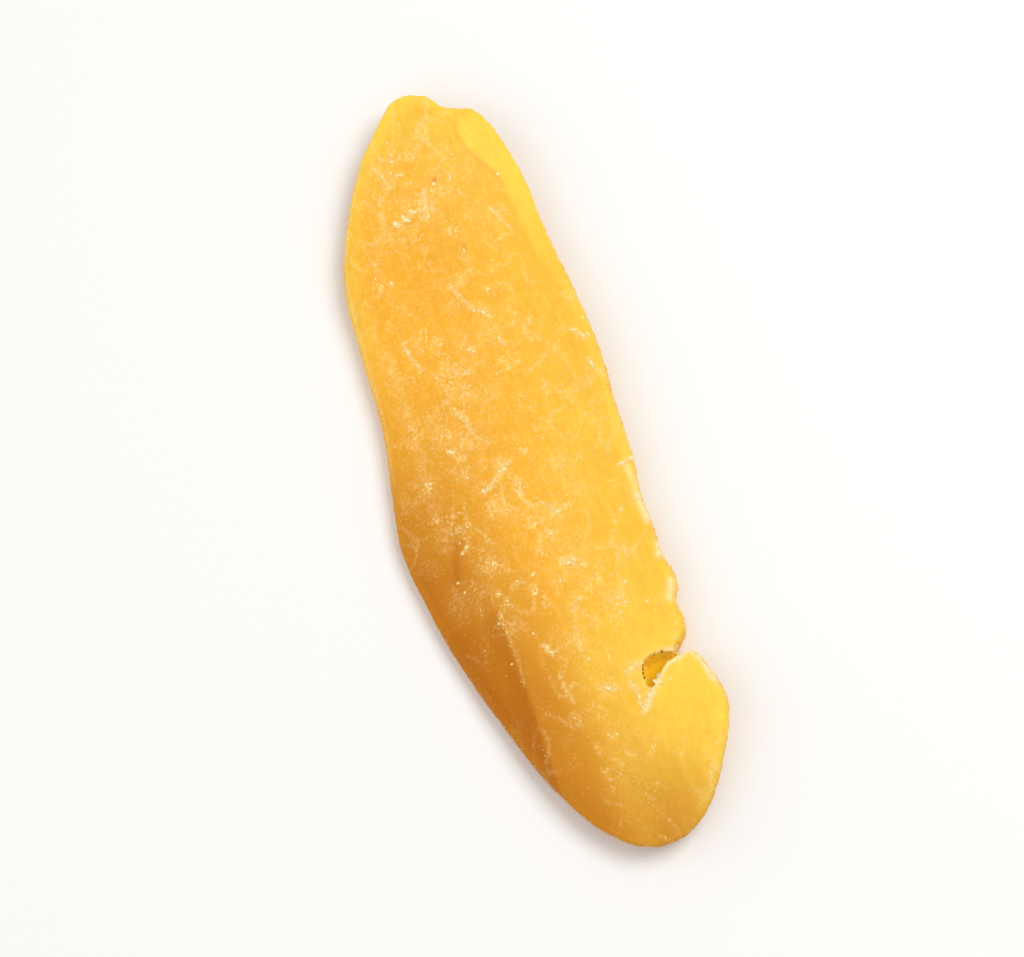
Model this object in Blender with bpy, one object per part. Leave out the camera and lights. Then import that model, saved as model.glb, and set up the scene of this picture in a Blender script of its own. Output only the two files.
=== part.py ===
"""A dried mango slice, lying flat side down with its cut face up.

The slice is a long leaf-shaped solid. +Y runs from its lower end to its humped top end, +X to its
right edge and +Z up through its thickness. The origin is the middle of the bounding box, at the
height of the flat patch that the slice rests on.
"""

import math

import bmesh
import bpy
import numpy as np
from mathutils import Vector, noise
from mathutils.geometry import delaunay_2d_cdt

MM = 0.001

# Driving dimensions, in millimetres.
THICKNESS = 4.4          # between the two cut faces, in the middle of the slice
END_THICKNESS = 3.0      # near the two ends, where the slice dries thinner
RIM_HEIGHT = 1.5         # the upright wall that is left between the two rounded edges
UNDER_ROUND = 0.9        # rounding of the lower edge
LEFT_ROUND = 3.4         # width of the soft left margin
RIGHT_ROUND = 1.5        # width of the rounded right margin
PEELED_WIDTH = 3.8       # the sloping strip where the skin was peeled off, at the upper right
TORN_ROUND = 0.45        # rounding of the lips at the mouth of the tear
TOP_LIFT = 4.2           # how far the top end curls up off the table
LOW_LIFT = 2.4           # how far the lower end curls up
SIDE_LIFT = 1.3          # how far the right edge stands off the table
FLAP_LIFT = 1.0          # how far the torn flap stands proud of the face beside it
FLAP_FADE = 12.0         # the flap sinks back to the face over this length
TEAR_FLOOR = 2.0         # the thin flesh left at the bottom of the tear
RIDGE_HEIGHT = 0.28
RIDGE_DROP = 1.6         # how far the face falls away between the long ridge and the left edge
CREASE_DEPTH = 0.45
WAVE_HEIGHT = 0.38       # long swells that follow the fibres
DIMPLE_HEIGHT = 0.13     # short, shallow dimples between the fibres

# Where the underside leaves the table, in millimetres from the middle of the outline's frame.
TOP_CURL_START, TOP_CURL_LENGTH = 16.0, 46.0
LOW_CURL_START, LOW_CURL_LENGTH = -22.0, 37.0
SIDE_CURL_START, SIDE_CURL_LENGTH = 5.0, 10.0

# Spacing of the mesh, in millimetres.
EDGE_STEP = 1.1
TEAR_STEP = 0.6
FACE_STEP = 1.5
RING_DEPTHS = (0.4, 1.1)
KEEP_CLEAR = 0.36        # no inner point comes nearer than this to an edge

# The outline in millimetres, clockwise from the hump at the top end.
OUTLINE = (
    (-5.3, 58.1), (-3.6, 59.7), (-2.3, 60.9), (-0.1, 61.4), (2.0, 60.9), (3.8, 59.9), (4.9, 58.2),
    (6.9, 57.0), (9.2, 56.3), (11.0, 53.4), (12.4, 48.6), (13.3, 43.0), (13.5, 38.0), (13.9, 32.0),
    (14.7, 25.0), (15.3, 16.0), (14.8, 6.5), (14.6, -0.6), (14.5, -3.3), (13.8, -8.5),
    (13.9, -13.5), (13.8, -18.3), (14.5, -22.5), (14.1, -24.4), (13.1, -25.3), (13.5, -28.0),
    (13.1, -30.7), (11.8, -32.0), (10.6, -33.0), (11.8, -33.8), (13.5, -33.9), (15.1, -38.6),
    (15.6, -42.3), (14.6, -45.0), (12.9, -48.6), (10.6, -52.4), (6.9, -57.0), (1.2, -59.4),
    (-4.5, -57.7), (-9.6, -52.0), (-13.3, -44.5), (-17.0, -33.5), (-19.5, -24.2), (-21.4, -14.6),
    (-22.4, -5.5), (-21.1, 3.5), (-19.3, 13.5), (-18.7, 24.5), (-18.1, 34.3), (-16.7, 40.0),
    (-13.9, 46.3), (-9.6, 53.4),
)

# The tear: its mouth opens in the notch of the right edge. Past its lower end the lips are closed.
TEAR_MOUTH = (11.4, -32.9)
TEAR = (
    (12.4, -32.6), (11.2, -32.8), (10.4, -32.9), (9.5, -32.9), (8.9, -32.4), (7.8, -32.4),
    (6.8, -32.6), (5.9, -33.1), (5.4, -33.9), (5.2, -34.8), (5.1, -35.7), (4.9, -36.7),
    (5.5, -37.2), (6.2, -36.9), (6.7, -36.2), (7.4, -35.7), (8.1, -35.1), (8.9, -34.6),
    (10.1, -34.3), (11.2, -34.1), (12.2, -33.6), (12.6, -33.2),
)
TEAR_ROUGHNESS = 0.3
TEAR_GRAIN = 0.9
TEAR_SEED = 11.0

# The line that parts the flap from the face: along the tear, then on down the closed lips.
SPLIT = (
    (20.0, -32.9), (12.0, -33.1), (9.6, -33.5), (8.2, -34.0), (6.7, -35.3), (5.6, -36.6),
    (4.7, -38.1), (3.8, -39.9), (3.5, -43.0), (3.6, -47.0),
)
FAR_BELOW = -70.0

# Lines on the upper face, in millimetres.
RIDGE = ((-12.1, 2.0), (-12.1, -9.5), (-12.1, -17.8), (-11.4, -24.0), (-11.7, -30.0), (-12.1, -38.0))
CREASE = ((-14.1, -5.9), (-15.1, -8.6), (-16.4, -11.5))

FLESH_COLOUR = (0.98, 0.55, 0.10, 1.0)
FLESH_ROUGHNESS = 0.5


def clear_scene():
    for thing in list(bpy.data.objects):
        bpy.data.objects.remove(thing, do_unlink=True)


def smoothstep(value):
    value = np.clip(value, 0.0, 1.0)
    return value * value * (3.0 - 2.0 * value)


def quarter_round(share):
    """A quarter circle's height, from 0 at the edge to 1 where the rounding ends."""
    share = np.clip(share, 0.0, 1.0)
    return np.sqrt(1.0 - (1.0 - share) ** 2)


def smooth_loop(points, step):
    """A closed Catmull-Rom curve through these points, with a point about every step."""
    points = np.asarray(points, float)
    curve = []
    for i in range(len(points)):
        before, start, end, after = (points[(i + k) % len(points)] for k in (-1, 0, 1, 2))
        count = max(1, round(np.linalg.norm(end - start) / step))
        t = (np.arange(count) / count)[:, None]
        curve.append(
            0.5 * (2.0 * start
                   + (end - before) * t
                   + (2.0 * before - 5.0 * start + 4.0 * end - after) * t ** 2
                   + (3.0 * start - before - 3.0 * end + after) * t ** 3)
        )
    return np.vstack(curve)


def torn_loop(points, step, depth, grain, seed):
    """A closed polyline pushed about as torn flesh is. Two lips that lie close move alike."""
    points = np.asarray(points, float)
    line = []
    for start, end in zip(points, np.roll(points, -1, axis=0)):
        count = max(1, round(np.linalg.norm(end - start) / step))
        line += [start + (end - start) * k / count for k in range(count)]
    pushes = [noise.noise_vector(Vector((x / grain, y / grain, seed))) for x, y in line]
    return np.array(line) + depth * np.array([push[:2] for push in pushes])


def distance_to(points, line, closed=False):
    """How far each point is from the polyline."""
    line = np.asarray(line, float)
    if closed:
        line = np.vstack([line, line[:1]])
    starts, steps = line[:-1], np.diff(line, axis=0)
    offset = points[:, None, :] - starts[None]
    share = np.clip((offset * steps).sum(2) / (steps ** 2).sum(1), 0.0, 1.0)
    return np.linalg.norm(offset - share[..., None] * steps, axis=2).min(1)


def inside(points, loop):
    """Whether each point lies inside the closed polyline."""
    x, y = points[:, 0:1], points[:, 1:2]
    x0, y0 = np.asarray(loop).T
    x1, y1 = np.roll(x0, -1), np.roll(y0, -1)
    crosses = (y0 > y) != (y1 > y)
    reach = x0 + (y - y0) * (x1 - x0) / np.where(y1 == y0, 1.0, y1 - y0)
    return ((crosses & (x < reach)).sum(1) % 2).astype(bool)


def offset_ring(loop, depth):
    """The loop's points moved inwards by the depth, without those that crowd a corner."""
    ahead, behind = np.roll(loop, -1, axis=0), np.roll(loop, 1, axis=0)
    along = ahead - behind
    along /= np.linalg.norm(along, axis=1, keepdims=True)
    normal = np.column_stack([along[:, 1], -along[:, 0]])
    area = (loop[:, 0] * ahead[:, 1] - ahead[:, 0] * loop[:, 1]).sum()
    ring = loop - np.sign(area) * normal * depth
    return ring[distance_to(ring, loop, closed=True) > 0.9 * abs(depth)]


def hexagon_points(low, high, step):
    """Points of a triangular grid over a box."""
    rows = np.arange(low[1], high[1], step * math.sqrt(0.75))
    return np.array([
        (x, y)
        for number, y in enumerate(rows)
        for x in np.arange(low[0] + (number % 2) * step / 2, high[0], step)
    ])


def face_plan(outline, tear):
    """The triangles of the slice seen from above, as points in millimetres and index triples."""
    grid = hexagon_points(outline.min(0), outline.max(0), FACE_STEP)
    grid = grid[distance_to(grid, outline, closed=True) > RING_DEPTHS[-1] + KEEP_CLEAR]
    rings = [offset_ring(outline, depth) for depth in RING_DEPTHS]
    rings += [offset_ring(tear, depth) for depth in (RING_DEPTHS[0], -RING_DEPTHS[0])]
    inner = np.vstack(rings + [grid])
    inner = inner[inside(inner, outline)]
    inner = inner[distance_to(inner, tear, closed=True) > KEEP_CLEAR]
    inner = inner[distance_to(inner, outline, closed=True) > KEEP_CLEAR]
    count, cut = len(outline), len(tear)
    edges = [(i, (i + 1) % count) for i in range(count)]
    edges += [(count + i, count + (i + 1) % cut) for i in range(cut)]
    flat = [Vector(p) for p in np.vstack([outline, tear, inner])]
    points, _, triangles, *_ = delaunay_2d_cdt(flat, edges, [], 0, 1e-4)
    points = np.array([tuple(p) for p in points])
    middles = np.array([points[list(t)].mean(0) for t in triangles])
    return points, [t for t, kept in zip(triangles, inside(middles, outline)) if kept]


def swell(points, width, length, seed):
    """Noise from -1 to 1 that is drawn out along the fibres, one value for each point."""
    return np.array([noise.noise(Vector((x / width, y / length, seed))) for x, y in points])


def curl(points):
    """How far the underside stands off the table."""
    x, y = points.T
    top = TOP_LIFT * (np.clip(y - TOP_CURL_START, 0.0, None) / TOP_CURL_LENGTH) ** 2
    low = LOW_LIFT * (np.clip(LOW_CURL_START - y, 0.0, None) / LOW_CURL_LENGTH) ** 2
    side = SIDE_LIFT * (np.clip(x - SIDE_CURL_START, 0.0, None) / SIDE_CURL_LENGTH) ** 2
    return top + low + side


def torn_share(points):
    """1 at the lips of the tear's mouth, where the margins are torn, and 0 away from them."""
    from_mouth = np.linalg.norm(points - np.array(TEAR_MOUTH), axis=1)
    return 1.0 - smoothstep((from_mouth - 1.8) / 2.0)


def under_face(points, outline):
    """Height of the underside above its own flat plane: rounded up at the outer edge."""
    radius = UNDER_ROUND * (1.0 - 0.7 * torn_share(points))
    return radius * (1.0 - quarter_round(distance_to(points, outline, closed=True) / radius))


def margin(points):
    """The width of the upper edge's rounding, and how far it is a flat peeled strip instead."""
    x, y = points.T
    right = smoothstep((x - 2.0) / 6.0)
    peeled = right * smoothstep((y - 22.0) / 22.0) * (1.0 - smoothstep((y - 55.0) / 2.5))
    width = LEFT_ROUND + (RIGHT_ROUND - LEFT_ROUND) * right
    width += (PEELED_WIDTH - RIGHT_ROUND) * peeled
    torn = torn_share(points)
    return width + (TORN_ROUND - width) * torn, peeled


def flap(points):
    """How far the torn flap stands up: most beside the tear, nothing near the slice's end."""
    area = SPLIT + ((SPLIT[-1][0], FAR_BELOW), (SPLIT[0][0], FAR_BELOW))
    gap = distance_to(points, SPLIT)
    across = np.where(inside(points, area), gap, -gap)
    beside = smoothstep(across / 0.8 + 0.5) * (1.0 - 0.5 * smoothstep((across - 4.0) / 8.0))
    return FLAP_LIFT * beside * (1.0 - smoothstep((-34.5 - points[:, 1]) / FLAP_FADE))


def ridge(points):
    """The long ridge at the lower left, and the face that falls away to the left of it."""
    x, y = points.T
    line = np.asarray(RIDGE)
    ridge_x = np.interp(-y, -line[:, 1], line[:, 0])
    crest = RIDGE_HEIGHT * np.exp(-((x - ridge_x) / 1.1) ** 2)
    fall = RIDGE_DROP * np.clip((ridge_x - x) / 10.0, 0.0, 1.0)
    return smoothstep((8.0 - y) / 22.0) * (crest - fall)


def upper_face(points, outline, tear):
    """Height of the cut face above the underside's plane."""
    y = points[:, 1]
    towards_ends = smoothstep((64.0 - y) / 30.0) * smoothstep((y + 62.0) / 26.0)
    body = END_THICKNESS + (THICKNESS - END_THICKNESS) * towards_ends
    body += WAVE_HEIGHT * swell(points, 8.5, 24.0, 3.1)
    body += DIMPLE_HEIGHT * swell(points, 2.6, 6.0, 8.7)
    body += ridge(points) + flap(points)
    body -= CREASE_DEPTH * np.exp(-(distance_to(points, CREASE) / 0.8) ** 2)

    width, peeled = margin(points)
    share = np.clip(distance_to(points, outline, closed=True) / width, 0.0, 1.0)
    rounded = quarter_round(share)
    profile = rounded + (share - rounded) * smoothstep(peeled)
    edge = UNDER_ROUND + RIM_HEIGHT
    height = edge + (body - edge) * profile

    into_tear = np.where(inside(points, tear), distance_to(points, tear, closed=True), 0.0)
    sunk = smoothstep(into_tear / RING_DEPTHS[0])
    return height + (TEAR_FLOOR - height) * sunk


def slice_mesh():
    outline = smooth_loop(OUTLINE, EDGE_STEP)
    tear = torn_loop(TEAR, TEAR_STEP, TEAR_ROUGHNESS, TEAR_GRAIN, TEAR_SEED)
    points, triangles = face_plan(outline, tear)
    raised = curl(points)
    low = (raised + under_face(points, outline)) * MM
    high = (raised + upper_face(points, outline, tear)) * MM

    shape = bmesh.new()
    under = [shape.verts.new((x * MM, y * MM, z)) for (x, y), z in zip(points, low)]
    for triangle in triangles:
        shape.faces.new([under[i] for i in triangle])
    top = bmesh.ops.extrude_face_region(shape, geom=shape.faces[:])["geom"]
    rise = {tuple(v.co): z - v.co.z for v, z in zip(under, high)}
    for vertex in (v for v in top if isinstance(v, bmesh.types.BMVert)):
        vertex.co.z += rise[tuple(vertex.co)]
    bmesh.ops.delete(shape, geom=[v for v in shape.verts if not v.link_faces], context="VERTS")
    bmesh.ops.recalc_face_normals(shape, faces=shape.faces[:])

    corners = np.array([tuple(v.co) for v in shape.verts])
    middle = (corners.min(0) + corners.max(0)) / 2
    base = Vector((middle[0], middle[1], corners[:, 2].min()))
    bmesh.ops.translate(shape, verts=shape.verts[:], vec=-base)
    mesh = bpy.data.meshes.new("mango_slice")
    shape.to_mesh(mesh)
    shape.free()
    return mesh


def flesh_material():
    material = bpy.data.materials.new("dried_mango_flesh")
    material.use_nodes = True
    shader = material.node_tree.nodes["Principled BSDF"]
    shader.inputs["Base Color"].default_value = FLESH_COLOUR
    shader.inputs["Roughness"].default_value = FLESH_ROUGHNESS
    shader.inputs["Metallic"].default_value = 0.0
    return material


def main():
    clear_scene()
    mesh = slice_mesh()
    mesh.materials.append(flesh_material())
    mesh.shade_smooth()
    mesh.set_sharp_from_angle(angle=math.radians(60.0))
    mango = bpy.data.objects.new("mango_slice", mesh)
    bpy.context.scene.collection.objects.link(mango)


main()
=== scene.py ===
import math

import bmesh
import bpy
import numpy as np
from mathutils import Matrix, Quaternion, Vector, kdtree, noise


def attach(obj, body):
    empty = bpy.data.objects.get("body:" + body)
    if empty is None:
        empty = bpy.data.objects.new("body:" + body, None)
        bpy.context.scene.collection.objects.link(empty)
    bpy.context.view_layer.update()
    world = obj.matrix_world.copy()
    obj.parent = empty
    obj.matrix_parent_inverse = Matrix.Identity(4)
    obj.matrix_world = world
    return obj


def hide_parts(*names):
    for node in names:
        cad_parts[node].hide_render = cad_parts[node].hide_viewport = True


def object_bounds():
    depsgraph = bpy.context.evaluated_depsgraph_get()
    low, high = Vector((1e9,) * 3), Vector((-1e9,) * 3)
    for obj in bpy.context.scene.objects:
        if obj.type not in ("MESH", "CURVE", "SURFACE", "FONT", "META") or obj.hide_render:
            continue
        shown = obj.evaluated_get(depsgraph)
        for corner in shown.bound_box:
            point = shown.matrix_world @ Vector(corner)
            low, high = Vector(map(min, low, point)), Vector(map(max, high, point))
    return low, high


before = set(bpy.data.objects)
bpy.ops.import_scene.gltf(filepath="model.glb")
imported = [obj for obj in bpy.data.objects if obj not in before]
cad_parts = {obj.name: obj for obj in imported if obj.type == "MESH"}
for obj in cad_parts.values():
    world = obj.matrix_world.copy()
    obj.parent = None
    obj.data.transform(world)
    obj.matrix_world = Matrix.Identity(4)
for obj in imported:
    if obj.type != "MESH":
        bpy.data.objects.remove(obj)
cadBox = [list(corner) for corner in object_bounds()]

# Lengths in the dictionaries below are in millimetres. +Y runs up the slice, +X to its right edge.
mm = 0.001


def linearColour(code):  # "#RRGGBB" as linear red, green, blue and alpha
    shares = [int(code[i:i + 2], 16) / 255 for i in (1, 3, 5)]
    return [s / 12.92 if s <= 0.04045 else ((s + 0.055) / 1.055) ** 2.4 for s in shares] + [1.0]


def addNode(tree, kind, inputs=None, **settings):  # an input is a value, or the socket that feeds it
    node = tree.nodes.new(kind)
    for name, value in settings.items():
        setattr(node, name, value)
    for key, value in (inputs or {}).items():
        if isinstance(value, bpy.types.NodeSocket):
            tree.links.new(value, node.inputs[key])
        else:
            node.inputs[key].default_value = value
    return node


def newMaterial(name):
    material = bpy.data.materials.new(name)
    material.use_nodes = True
    material.node_tree.nodes.clear()
    return material, material.node_tree


def addPiece(name, shape, material=None):  # makes an object at the origin out of a finished bmesh
    mesh = bpy.data.meshes.new(name)
    shape.to_mesh(mesh)
    shape.free()
    mesh.shade_smooth()
    if material:
        mesh.materials.append(material)
    piece = bpy.data.objects.new(name, mesh)
    bpy.context.scene.collection.objects.link(piece)
    return piece


def addField(piece, name, values):  # one number for each vertex, for the material to read
    field = piece.data.attributes.new(name, "FLOAT", "POINT")
    field.data.foreach_set("value", np.asarray(values, np.float32))


# Small maths on arrays of places in millimetres.

def ramp(value, start, end):  # 0 at the start and 1 at the end, which may be the lower of the two
    share = np.clip((value - start) / (end - start), 0.0, 1.0)
    return share * share * (3.0 - 2.0 * share)


def hump(value, middle, width):  # 1 at the middle, and less and less on both sides of it
    return np.exp(-((value - middle) / width) ** 2)


def noiseField(places, size, seed):  # -1 to 1, in lumps of this size along x, y and z
    return np.array([noise.noise(p) for p in (places / np.array(size) + seed).tolist()])


def lineDistance(places, line):  # how far each place is from the line, seen from above
    corners = np.array(line if len(line) > 1 else line * 2, float)
    nearest = np.full(len(places), np.inf)
    for start, end in zip(corners[:-1], corners[1:]):
        along = end - start
        offset = places[:, :2] - start
        share = np.clip(offset @ along / max(along @ along, 1e-9), 0.0, 1.0)
        nearest = np.minimum(nearest, np.linalg.norm(offset - share[:, None] * along, axis=1))
    return nearest


def insideLoop(places, loop):  # whether each place lies inside the closed line, seen from above
    x, y = places[:, 0:1], places[:, 1:2]
    x0, y0 = np.array(loop, float).T
    x1, y1 = np.roll(x0, -1), np.roll(y0, -1)
    crosses = (y0 > y) != (y1 > y)
    reach = x0 + (y - y0) * (x1 - x0) / np.where(y1 == y0, 1.0, y1 - y0)
    return ((crosses & (x < reach)).sum(1) % 2).astype(bool)


# Camera: the photo looks steeply down on the cut face, with the slice leaning to the left.

view = {
    "azimuth": -3.1,       # degrees round the slice from its lower end
    "elevation": 74.7,
    "roll": -16.1,
    "distance": 572.4,
    "aim": (0.0, -1.0, 3.0),
    "lens": 136.0,
    "clipStart": 10.0,
}


def addCamera():
    camera = bpy.data.objects.new("camera", bpy.data.cameras.new("camera"))
    camera.data.lens = view["lens"]
    camera.data.clip_start = view["clipStart"] * mm
    azimuth, elevation = math.radians(view["azimuth"]), math.radians(view["elevation"])
    back = Vector((
        math.sin(azimuth) * math.cos(elevation),
        -math.cos(azimuth) * math.cos(elevation),
        math.sin(elevation),
    ))
    camera.location = (Vector(view["aim"]) + back * view["distance"]) * mm
    turn = back.to_track_quat("Z", "Y") @ Quaternion((0, 0, 1), math.radians(view["roll"]))
    camera.rotation_euler = turn.to_euler()
    bpy.context.scene.collection.objects.link(camera)
    bpy.context.scene.camera = camera


# Studio: a white table under big soft lights, so that the shadows stay faint as in the photo.

studio = {
    "floorHalf": 3000.0,
    "floorColour": "#F6F5F3",
    "floorRoughness": 0.85,
    "floorSpecular": 0.1,
    "worldColour": "#FFFFFF",
    "worldStrength": 0.53,
    "lights": {
        # place, side of the square, watts, colour
        "keyLight": ((360.0, 60.0, 600.0), 380.0, 2.5, "#FFFFFF"),
        "leftLight": ((-520.0, 260.0, 290.0), 500.0, 0.66, "#FFFFFF"),
        "fillLight": ((-420.0, -200.0, 520.0), 600.0, 0.8, "#FFFDF8"),
    },
}


def addStudio():
    material, tree = newMaterial("mattWhiteTable")   # painted board, matt and almost white
    shader = addNode(tree, "ShaderNodeBsdfPrincipled", {
        "Base Color": linearColour(studio["floorColour"]),
        "Roughness": studio["floorRoughness"],
        "Specular IOR Level": studio["floorSpecular"],
    })
    addNode(tree, "ShaderNodeOutputMaterial", {"Surface": shader.outputs[0]})
    board = bmesh.new()
    bmesh.ops.create_grid(board, x_segments=1, y_segments=1, size=studio["floorHalf"] * mm)
    addPiece("studioFloor", board, material)

    for name, (place, side, watts, colour) in studio["lights"].items():
        light = bpy.data.lights.new(name, "AREA")
        light.size = side * mm
        light.energy = watts
        light.color = linearColour(colour)[:3]
        lamp = bpy.data.objects.new(name, light)
        lamp.location = Vector(place) * mm
        lamp.rotation_euler = Vector(place).to_track_quat("Z", "Y").to_euler()
        bpy.context.scene.collection.objects.link(lamp)

    world = bpy.data.worlds.new("softWhiteRoom")
    world.use_nodes = True
    sky = world.node_tree.nodes["Background"]
    sky.inputs["Color"].default_value = linearColour(studio["worldColour"])
    sky.inputs["Strength"].default_value = studio["worldStrength"]
    bpy.context.scene.world = world
    bpy.context.scene.view_settings.view_transform = "Standard"


# The slice. The solid gives its form; the fibres, pits, scars and torn edges are worked in here.

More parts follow.
